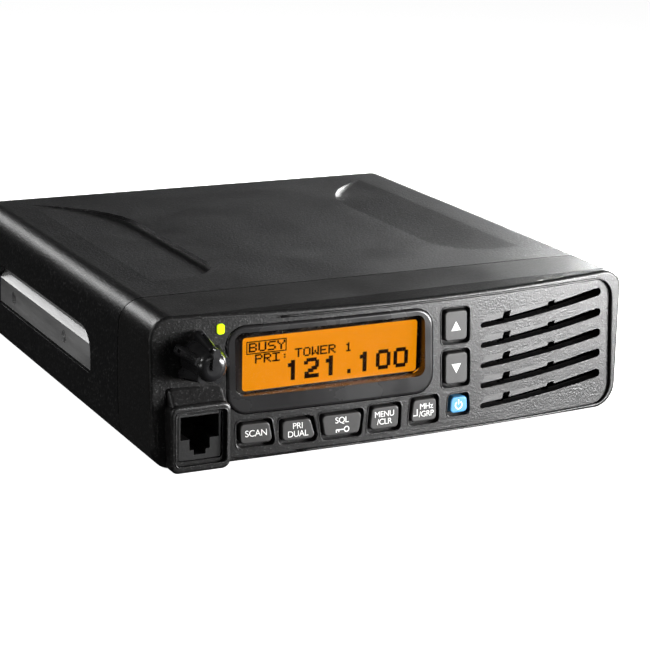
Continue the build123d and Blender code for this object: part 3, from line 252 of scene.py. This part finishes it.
FINISHES = {
    "case_paint": dict(
        colour=(0.006, 0.006, 0.0065), roughness=0.36, grain=(1250, 0.34), mottle=(1200, 0.4),
        # light specks: partly flecks of the powder coat, partly painted glints
        speck_and_glint=(1350, 0.08), smudge=(45, 0.03),
    ),
    "panel_plastic": dict(
        colour=(0.010, 0.0097, 0.0097), roughness=0.31, grain=(1700, 0.26), mottle=(1300, 0.4),
        # light specks: partly flecks of the plastic, partly painted glints
        speck_and_glint=(1700, 0.06), smudge=(60, 0.03),
    ),
    "bezel_gloss": dict(
        colour=(0.016, 0.0155, 0.016), roughness=0.26, grain=(900, 0.03), smudge=(90, 0.05),
    ),
    "knob_plastic": dict(
        colour=(0.012, 0.012, 0.013), coat=0.8, roughness=0.30, grain=(1500, 0.06),
        smudge=(250, 0.07),
    ),
    "key_grey": dict(
        colour=(0.026, 0.025, 0.0245), roughness=0.48, grain=(2600, 0.12), mottle=(700, 0.08),
    ),
    "key_blue": dict(
        colour=(0.055, 0.27, 0.52), roughness=0.42, grain=(2600, 0.10), mottle=(700, 0.08),
    ),
    "louvre_plastic": dict(
        colour=(0.040, 0.039, 0.039), roughness=0.38, grain=(2400, 0.18), mottle=(900, 0.1),
    ),
    "cast_aluminium": dict(
        colour=(0.78, 0.78, 0.78), roughness=0.50, metallic=1.0, grain=(700, 0.16),
        mottle=(240, 0.08), smudge=(160, 0.10), stretch=(1, 0.12, 1),
    ),
    "machined_aluminium": dict(
        colour=(0.7, 0.7, 0.71), roughness=0.3, metallic=1.0, grain=(1400, 0.1),
    ),
    "plated_steel": dict(
        colour=(0.58, 0.58, 0.56), roughness=0.32, metallic=1.0, grain=(900, 0.08),
        smudge=(300, 0.1),
    ),
    "nickel": dict(
        colour=(0.66, 0.64, 0.60), roughness=0.2, metallic=1.0, grain=(900, 0.03),
        smudge=(300, 0.08),
    ),
    "brass": dict(
        colour=(0.72, 0.52, 0.22), roughness=0.3, metallic=1.0, grain=(1200, 0.05),
        smudge=(300, 0.1),
    ),
    "gold_contact": dict(
        colour=(0.83, 0.60, 0.25), roughness=0.25, metallic=1.0, grain=(1200, 0.04),
        smudge=(300, 0.08),
    ),
    "black_plastic": dict(
        colour=(0.006, 0.006, 0.006), roughness=0.42, grain=(1400, 0.1), mottle=(500, 0.1),
    ),
    "white_plastic": dict(
        colour=(0.75, 0.74, 0.70), roughness=0.4, grain=(1200, 0.06), mottle=(300, 0.03),
    ),
    "light_guide": dict(
        colour=(0.85, 0.82, 0.74), roughness=0.2, grain=(800, 0.03), mottle=(300, 0.03),
    ),
    "silicone_mat": dict(
        colour=(0.012, 0.012, 0.012), roughness=0.7, grain=(1200, 0.1), mottle=(400, 0.1),
    ),
    "speaker_cloth": dict(
        colour=(0.006, 0.006, 0.006), roughness=0.9, grain=(1600, 0.9), mottle=(1600, 0.4),
    ),
    "cone_paper": dict(
        colour=(0.03, 0.03, 0.03), roughness=0.8, grain=(900, 0.3), mottle=(300, 0.2),
    ),
    "magnet_ferrite": dict(
        colour=(0.05, 0.05, 0.055), roughness=0.6, metallic=0.4, grain=(600, 0.2),
        mottle=(300, 0.2),
    ),
    "board_green": dict(
        colour=(0.012, 0.11, 0.045), roughness=0.35, grain=(500, 0.1), mottle=(120, 0.15),
    ),
    "capacitor_sleeve": dict(
        colour=(0.02, 0.03, 0.06), roughness=0.3, grain=(400, 0.05), mottle=(200, 0.1),
    ),
    "ribbon_grey": dict(
        colour=(0.4, 0.4, 0.41), roughness=0.5, grain=(800, 0.1), stretch=(1, 0.05, 0.05),
        mottle=(700, 0.2),
    ),
}


def dress_nodes():
    """Gives every CAD node the finish of its record slot."""
    finishes = {slot: finish_material(slot, **look) for slot, look in FINISHES.items()}
    finishes["clear_window"] = window_material()
    finishes["lcd_amber"] = finish_material(
        "lcd_amber", (0.01, 0.006, 0.004), 0.25, grain=(500, 0.02), smudge=(200, 0.05))
    finishes["lamp_green"] = glow_material("lamp_green", (0.55, 0.80, 0.01), 0.75)
    for row in frame["record"]["subparts"]:
        node = NODES[row["node"]]
        node.data.materials.clear()
        node.data.materials.append(finishes[row["material_slot"]])
    return finishes


# ---- drawing on surfaces ------------------------------------------------------------------------
RAY_START = 20 * MM          # how far ahead of a node the rays onto its front begin
INWARDS = Vector((0, 1, 0))


def new_object(name, mesh, body, material):
    """Links a mesh that moves with a body and gives it the given material."""
    piece = bpy.data.objects.new(name, mesh)
    bpy.context.scene.collection.objects.link(piece)
    mesh.materials.append(material)
    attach(piece, body)
    return piece


def surface_tree(node):
    """Search tree over a node's faces."""
    mesh = NODES[node].data
    verts = [v.co.copy() for v in mesh.vertices]
    faces = [tuple(p.vertices) for p in mesh.polygons]
    return BVHTree.FromPolygons(verts, faces)


def lay_on(mesh, node, lift):
    """Moves each vertex along Y until it lies on the node's front, lift in front of it."""
    tree = surface_tree(node)
    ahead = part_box(node)[0][1] - RAY_START
    for vertex in mesh.vertices:
        hit = tree.ray_cast(Vector((vertex.co.x, ahead, vertex.co.z)), INWARDS)[0]
        if hit is not None:
            vertex.co.y += hit.y - lift


def bar(x0, z0, x1, z1):
    """Outline of an upright rectangle."""
    return [(x0, z0), (x1, z0), (x1, z1), (x0, z1)]


def drawn_plate(name, outlines, thick):
    """A mesh of flat plates in the XZ plane from closed outlines in metres, front at y = 0."""
    made = bmesh.new()
    for outline in outlines:
        front = [made.verts.new((x, 0.0, z)) for x, z in outline]
        back = [made.verts.new((x, thick, z)) for x, z in outline]
        made.faces.new(front)
        made.faces.new(list(reversed(back)))
        count = len(outline)
        for index in range(count):
            after = (index + 1) % count
            made.faces.new((front[index], back[index], back[after], front[after]))
    bmesh.ops.recalc_face_normals(made, faces=made.faces)
    mesh = bpy.data.meshes.new(name)
    made.to_mesh(mesh)
    made.free()
    return mesh


def node_middle(node):
    low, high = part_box(node)
    return (low[0] + high[0]) / 2, (low[2] + high[2]) / 2


make_camera()
for light_name, settings in LIGHTS.items():
    make_light(light_name, *settings)
make_stage()
SLOTS = dress_nodes()

# ---- display ------------------------------------------------------------------------------------
LCD_ACTIVE_X = (-51.9 * MM, 5.1 * MM)
LCD_ACTIVE_Z = (20.5 * MM, 36.5 * MM)
DOT = 0.42 * MM
DOT_BLEED = 0.05 * MM
PRINT_THICK = 0.02 * MM
SCREEN_LIFT = 0.04 * MM      # lit screen ahead of the glass
INK_LIFT = 0.07 * MM         # figures ahead of the glass
SCREEN_CORNER = 1.0 * MM
GLYPHS = {
    "B": ("11110", "10001", "10001", "11110", "10001", "10001", "11110"),
    "E": ("11111", "10000", "10000", "11110", "10000", "10000", "11111"),
    "I": ("11111", "00100", "00100", "00100", "00100", "00100", "11111"),
    "O": ("01110", "10001", "10001", "10001", "10001", "10001", "01110"),
    "P": ("11110", "10001", "10001", "11110", "10000", "10000", "10000"),
    "R": ("11110", "10001", "10001", "11110", "10100", "10010", "10001"),
    "S": ("01111", "10000", "10000", "01110", "00001", "00001", "11110"),
    "T": ("11111", "00100", "00100", "00100", "00100", "00100", "00100"),
    "U": ("10001", "10001", "10001", "10001", "10001", "10001", "01110"),
    "W": ("10001", "10001", "10001", "10101", "10101", "11011", "10001"),
    "Y": ("10001", "10001", "01010", "00100", "00100", "00100", "00100"),
    "1": ("00100", "01100", "00100", "00100", "00100", "00100", "01110"),
    ":": ("00000", "00000", "00100", "00000", "00100", "00000", "00000"),
    " ": ("00000",) * 7,
}
# large figures on a 10 by 13 grid, as strokes: left, low, right, high in dots
FIGURES = {
    "0": ((0, 2, 2.6, 11), (7.4, 2, 10, 11), (1.6, 0, 8.4, 2.6), (1.6, 10.4, 8.4, 13)),
    "1": ((3.6, 0, 6.4, 13), (1.6, 8.6, 3.6, 11.2)),
    "2": ((0, 9, 2.6, 11.4), (1.6, 10.6, 8.4, 13), (7.4, 6.6, 10, 11.4), (5.0, 5.0, 8.8, 7.6),
          (2.6, 3.6, 6.4, 6.2), (0.4, 0, 3.4, 4.4), (0.4, 0, 10, 2.6)),
    ".": ((0, 0, 2.4, 2.8),),
}


def figure_rects(figure, left, low, wide, high):
    """The strokes of a large figure, with dots of the given width and height."""
    return [
        bar(left + x0 * wide, low + z0 * high, left + x1 * wide, low + z1 * high)
        for x0, z0, x1, z1 in FIGURES[figure]
    ]


def dot_rects(text, left, top, wide, high, spacing):
    """Squares for a line of dot-matrix text."""
    rects = []
    for place, letter in enumerate(text):
        for row, line in enumerate(GLYPHS[letter]):
            for column, lit in enumerate(line):
                if lit == "1":
                    x = left + place * spacing + column * wide
                    z = top - (row + 1) * high
                    rects.append(
                        bar(x - DOT_BLEED, z - DOT_BLEED, x + wide + DOT_BLEED, z + high + DOT_BLEED))
    return rects


def frame_rects(left, low, right, high, line):
    """Four bars that frame a rectangle, line thick."""
    return [
        bar(left, low, right, low + line),
        bar(left, high - line, right, high),
        bar(left, low + line, left + line, high - line),
        bar(right - line, low + line, right, high - line),
    ]


def rounded_outline(x_span, z_span, radius, steps=6):
    """Rectangle with rounded corners, anticlockwise from its right upper corner."""
    points = []
    corners = (
        (x_span[1] - radius, z_span[1] - radius, 0), (x_span[0] + radius, z_span[1] - radius, 90),
        (x_span[0] + radius, z_span[0] + radius, 180), (x_span[1] - radius, z_span[0] + radius, 270))
    for x, z, start in corners:
        for step in range(steps + 1):
            angle = math.radians(start + 90 * step / steps)
            points.append((x + radius * math.cos(angle), z + radius * math.sin(angle)))
    return points


# line of text: words, left end, top, dot width, dot height and letter spacing
TEXT_LINES = (
    ("BUSY", -49.9 * MM, 34.75 * MM, DOT * 1.2, DOT * 0.92, 3.0 * MM),
    ("PRI:", -47.9 * MM, 31.2 * MM, DOT * 1.12, DOT * 0.9, 2.75 * MM),
    ("TOWER 1", -35.2 * MM, 31.7 * MM, DOT * 1.1, DOT * 0.9, 2.72 * MM),
)
STATUS_BOX = (-50.7 * MM, 31.4 * MM, -37.9 * MM, 35.3 * MM)
STATUS_LINE = 0.34 * MM
FREQUENCY = "121.100"
FREQUENCY_X = (-38.2, -32.2, -25.9, -18.0, -14.7, -8.5, -2.6)  # left end of each figure in mm
FREQUENCY_LOW = 22.2 * MM
FIGURE_DOT = (0.49 * MM, 0.47 * MM)


def make_display():
    """Lit amber screen with its dark segments, both just ahead of the glass node."""
    glass_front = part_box("lcd_glass")[0][1]
    amber = glow_material("lcd_back_light", (1.0, 0.33, 0.002), 0.83, body=(0.10, 0.03, 0.002))
    outline = rounded_outline(LCD_ACTIVE_X, LCD_ACTIVE_Z, SCREEN_CORNER)
    screen = drawn_plate("lcd_screen", [outline], PRINT_THICK)
    screen.transform(Matrix.Translation((0, glass_front - SCREEN_LIFT, 0)))
    new_object("lcd_screen", screen, "transceiver", amber)
    ink = finish_material("lcd_ink", (0.022, 0.006, 0.001), 0.7, mottle=(900, 0.2), specular=0.05)
    rects = frame_rects(*STATUS_BOX, STATUS_LINE)
    for line in TEXT_LINES:
        rects += dot_rects(*line)
    for place, figure in zip(FREQUENCY_X, FREQUENCY):
        rects += figure_rects(figure, place * MM, FREQUENCY_LOW, *FIGURE_DOT)
    marks = drawn_plate("lcd_marks", rects, PRINT_THICK)
    marks.transform(Matrix.Translation((0, glass_front - INK_LIFT, 0)))
    new_object("lcd_marks", marks, "transceiver", ink)


make_display()

# ---- legends on the keys ------------------------------------------------------------------------
LEGEND_THICK = 0.06 * MM


def text_mesh(words, size, centre, spacing=0.95):
    """Upright lettering in the XZ plane, centred, as a mesh."""
    curve = bpy.data.curves.new("lettering", "FONT")
    curve.body = words
    curve.size = size
    curve.align_x = "CENTER"
    curve.align_y = "CENTER"
    curve.space_line = 0.92
    curve.space_character = spacing
    curve.extrude = LEGEND_THICK / 2
    lettering = bpy.data.objects.new("lettering", curve)
    bpy.context.scene.collection.objects.link(lettering)
    bpy.context.view_layer.update()
    mesh = bpy.data.meshes.new_from_object(lettering)
    bpy.data.objects.remove(lettering)
    upright = Matrix.Rotation(math.radians(90), 4, "X")
    mesh.transform(Matrix.Translation((centre[0], 0, centre[1])) @ upright)
    return mesh


WHITE = finish_material("legend_white", (0.82, 0.82, 0.80), 0.5, mottle=(1500, 0.05), grain=(2000, 0.1))


def triangle(centre, half, high, point_up):
    """Outline of an arrow head that points up or down."""
    direction = 1 if point_up else -1
    return [
        (centre[0] - direction * half, centre[1] - direction * high / 2),
        (centre[0] + direction * half, centre[1] - direction * high / 2),
        (centre[0], centre[1] + direction * high / 2),
    ]


def arc_band(centre, radius, line, start, end, steps=28):
    """Closed outline of an arc-shaped line."""
    inner, outer = [], []
    for step in range(steps + 1):
        angle = math.radians(start + (end - start) * step / steps)
        cos, sin = math.cos(angle), math.sin(angle)
        outer.append((centre[0] + (radius + line / 2) * cos, centre[1] + (radius + line / 2) * sin))
        inner.append((centre[0] + (radius - line / 2) * cos, centre[1] + (radius - line / 2) * sin))
    return outer + inner[::-1]


def add_legend(name, key, mesh):
    """Lays a white mark on a key's cap; it moves with the key."""
    lay_on(mesh, key, LEGEND_THICK / 2)
    new_object(name, mesh, key, WHITE)


def add_mark(name, key, outlines):
    add_legend(name, key, drawn_plate(name, outlines, LEGEND_THICK))


# legend: key, words, letter size and shift from the middle of the key, in mm
WORDS = {
    "legend_scan": ("key_scan", "SCAN", 2.75, 0.0, 0.0),
    "legend_priority": ("key_priority", "PRI\nDUAL", 2.6, -0.2, 0.0),
    "legend_squelch": ("key_squelch", "SQL", 2.6, 0.0, 1.3),
    "legend_menu": ("key_menu", "MENU\n/CLR", 2.5, 0.0, 0.0),
    "legend_enter": ("key_enter", "MHz\n/GRP", 2.5, 0.9, 0.0),
}
MARK_LINE = 0.32 * MM
ARROW_HALF = 1.65 * MM
ARROW_HIGH = 2.9 * MM


def lock_mark(x, z):
    """A small key: a ring, a shank and two bits."""
    return [
        arc_band((x + 1.5 * MM, z - 1.5 * MM), 0.75 * MM, MARK_LINE, 0, 359.9),
        bar(x - 2.0 * MM, z - 1.66 * MM, x + 0.7 * MM, z - 1.34 * MM),
        bar(x - 2.0 * MM, z - 2.3 * MM, x - 1.68 * MM, z - 1.7 * MM),
        bar(x - 1.2 * MM, z - 2.2 * MM, x - 0.88 * MM, z - 1.7 * MM),
    ]


def return_mark(x, z):
    """An arrow that comes down and turns left."""
    x, z = x - 3.6 * MM, z - 1.3 * MM
    return [
        bar(x, z - 0.15 * MM, x + 1.5 * MM, z + 0.15 * MM),
        bar(x + 1.2 * MM, z + 0.15 * MM, x + 1.5 * MM, z + 1.9 * MM),
        [(x - 0.9 * MM, z), (x + 0.1 * MM, z - 0.7 * MM), (x + 0.1 * MM, z + 0.7 * MM)],
    ]


def power_mark(x, z):
    """An open ring with a bar in its gap."""
    return [
        arc_band((x, z - 0.1 * MM), 1.15 * MM, 0.42 * MM, 125, 415),
        bar(x - 0.2 * MM, z + 0.1 * MM, x + 0.2 * MM, z + 1.6 * MM),
    ]


def make_legends():
    """Words and symbols on the key caps."""
    for name, (key, words, size, right, up) in WORDS.items():
        x, z = node_middle(key)
        add_legend(name, key, text_mesh(words, size * MM, (x + right * MM, z + up * MM)))
    add_mark("legend_lock", "key_squelch", lock_mark(*node_middle("key_squelch")))
    add_mark("mark_return", "key_enter", return_mark(*node_middle("key_enter")))
    for way in ("up", "down"):
        key = "key_" + way
        add_mark("mark_" + way, key, [triangle(node_middle(key), ARROW_HALF, ARROW_HIGH, way == "up")])
    add_mark("mark_power", "key_power", power_mark(*node_middle("key_power")))


make_legends()


# ---- rolled edges round the key recesses --------------------------------------------------------
RECESS_RIM = 0.26 * MM
RECESS_GAP = 0.35 * MM       # from the key's flange to the edge of its recess
RECESS_CORNER = 1.9 * MM
BEAD_SINK = 0.08 * MM        # how far a bead's middle lies behind the surface
BEAD_SIDES = 8
PROBE_OUT = 0.25 * MM        # where the surface is felt for, outside the bead's line
KEY_LEAN = {                 # how far a key's left and right sides lean in at the top, in mm
    "key_scan": (0.0, 1.0), "key_priority": (0.0, 1.8), "key_squelch": (-0.9, -1.0),
    "key_menu": (0.9, -0.4), "key_enter": (1.0, 0.0), "key_power": (0.6, 0.3),
    "key_down": (0.0, 0.0), "key_up": (0.0, 0.0),
}


def box_corners(node):
    """Corners of a node's box seen from the front, anticlockwise from the left lower one."""
    low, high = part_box(node)
    return [
        Vector((low[0], low[2])), Vector((high[0], low[2])),
        Vector((high[0], high[2])), Vector((low[0], high[2]))]


def key_outline(key):
    """Corners of a key's flange, from its box and how far its sides lean in at the top."""
    low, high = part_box(key)
    lean_left, lean_right = (lean * MM for lean in KEY_LEAN[key])
    left = low[0] - min(0.0, lean_left)
    right = high[0] + min(0.0, lean_right)
    return [
        Vector((left, low[2])), Vector((right, low[2])),
        Vector((right - lean_right, high[2])), Vector((left + lean_left, high[2]))]


def grown(corners, gap, radius, steps=6):
    """The outline moved outwards by gap, with rounded corners."""
    count = len(corners)
    lines = []
    for index in range(count):
        a, b = corners[index], corners[(index + 1) % count]
        along = (b - a).normalized()
        out = Vector((along.y, -along.x))
        lines.append((a + out * gap, along))
    points = []
    for index in range(count):
        (a, u), (b, v) = lines[index - 1], lines[index]
        cross = u.x * v.y - u.y * v.x
        t = ((b.x - a.x) * v.y - (b.y - a.y) * v.x) / cross
        corner = a + u * t
        cut = radius * math.tan(math.acos(max(-1.0, min(1.0, u.dot(v)))) / 2)
        start, end = corner - u * cut, corner + v * cut
        for step in range(steps + 1):
            share = step / steps
            points.append((1 - share) ** 2 * start + 2 * share * (1 - share) * corner + share ** 2 * end)
    return points


def rim_tube(name, outline, node, radius, body, slot, closed=True):
    """Half-sunk round bead along an outline on the front of a node; an open one has flat ends."""
    tree = surface_tree(node)
    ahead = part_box(node)[0][1] - RAY_START
    count = len(outline)
    made = bmesh.new()
    rings = []
    for index, point in enumerate(outline):
        before, after = outline[index - 1], outline[(index + 1) % count]
        if not closed:
            before, after = outline[max(index - 1, 0)], outline[min(index + 1, count - 1)]
        along = (after - before).normalized()
        out = Vector((along.y, -along.x))
        probe = point + out * PROBE_OUT
        hit = tree.ray_cast(Vector((probe.x, ahead, probe.y)), INWARDS)[0]
        depth = hit.y if hit is not None else ahead
        ring = []
        for side in range(BEAD_SIDES):
            angle = 2 * math.pi * side / BEAD_SIDES
            flat = point + out * radius * math.cos(angle)
            ring.append(made.verts.new((flat.x, depth + BEAD_SINK + radius * math.sin(angle), flat.y)))
        rings.append(ring)
    for index in range(count if closed else count - 1):
        here, there = rings[index], rings[(index + 1) % count]
        for side in range(BEAD_SIDES):
            after = (side + 1) % BEAD_SIDES
            face = made.faces.new((here[side], here[after], there[after], there[side]))
            face.smooth = True
    if not closed:
        made.faces.new(rings[0])
        made.faces.new(rings[-1])
    bmesh.ops.recalc_face_normals(made, faces=made.faces)
    mesh = bpy.data.meshes.new(name)
    made.to_mesh(mesh)
    made.free()
    new_object(name, mesh, body, SLOTS[slot])


def panel_bead(name, outline, radius, closed=True):
    rim_tube(name, outline, "front_panel", radius, "transceiver", "panel_plastic", closed)


for key_name in KEY_LEAN:
    key_edge = grown(key_outline(key_name), RECESS_GAP, RECESS_CORNER)
    panel_bead(key_name.replace("key", "recess"), key_edge, RECESS_RIM)

# ---- lip of the rim and edge of the socket frame -------------------------------------------------
LIP_SIDE = 76.1 * MM         # inner edge of the rim, right of the middle
LIP_LOW = 2.1 * MM
LIP_HIGH = 42.5 * MM
LIP_CORNER = 6.4 * MM
LIP_START = -36.0 * MM       # the lip runs from here along the bottom, up the right side
LIP_END = -44.0 * MM         # and along the top to here
LIP_STEP = 3.0 * MM
LIP_BEAD = 0.42 * MM
TURN_STEPS = 8
FRAME_GAP = 1.3 * MM         # from the jack to the bead on its frame
FRAME_CORNER = 1.6 * MM


def run(start, end, step):
    """Evenly spaced points from start towards end, without the end."""
    count = max(1, round((end - start).length / step))
    return [start.lerp(end, index / count) for index in range(count)]


def turn(centre, start):
    """Points of a quarter turn of the lip about centre, from the start angle, without the end."""
    points = []
    for step in range(TURN_STEPS):
        angle = math.radians(start + 90 * step / TURN_STEPS)
        points.append(centre + LIP_CORNER * Vector((math.cos(angle), math.sin(angle))))
    return points


def lip_outline():
    """Inner edge of the rim: along the bottom, up the right side and back along the top."""
    turn_x = LIP_SIDE - LIP_CORNER
    low_turn, high_turn = LIP_LOW + LIP_CORNER, LIP_HIGH - LIP_CORNER
    points = run(Vector((LIP_START, LIP_LOW)), Vector((turn_x, LIP_LOW)), LIP_STEP)
    points += turn(Vector((turn_x, low_turn)), -90)
    points += run(Vector((LIP_SIDE, low_turn)), Vector((LIP_SIDE, high_turn)), LIP_STEP)
    points += turn(Vector((turn_x, high_turn)), 0)
    points += run(Vector((turn_x, LIP_HIGH)), Vector((LIP_END, LIP_HIGH)), LIP_STEP)
    return points


panel_bead("rim_lip", lip_outline(), LIP_BEAD, closed=False)
panel_bead("socket_edge", grown(box_corners("mic_jack"), FRAME_GAP, FRAME_CORNER), RECESS_RIM)
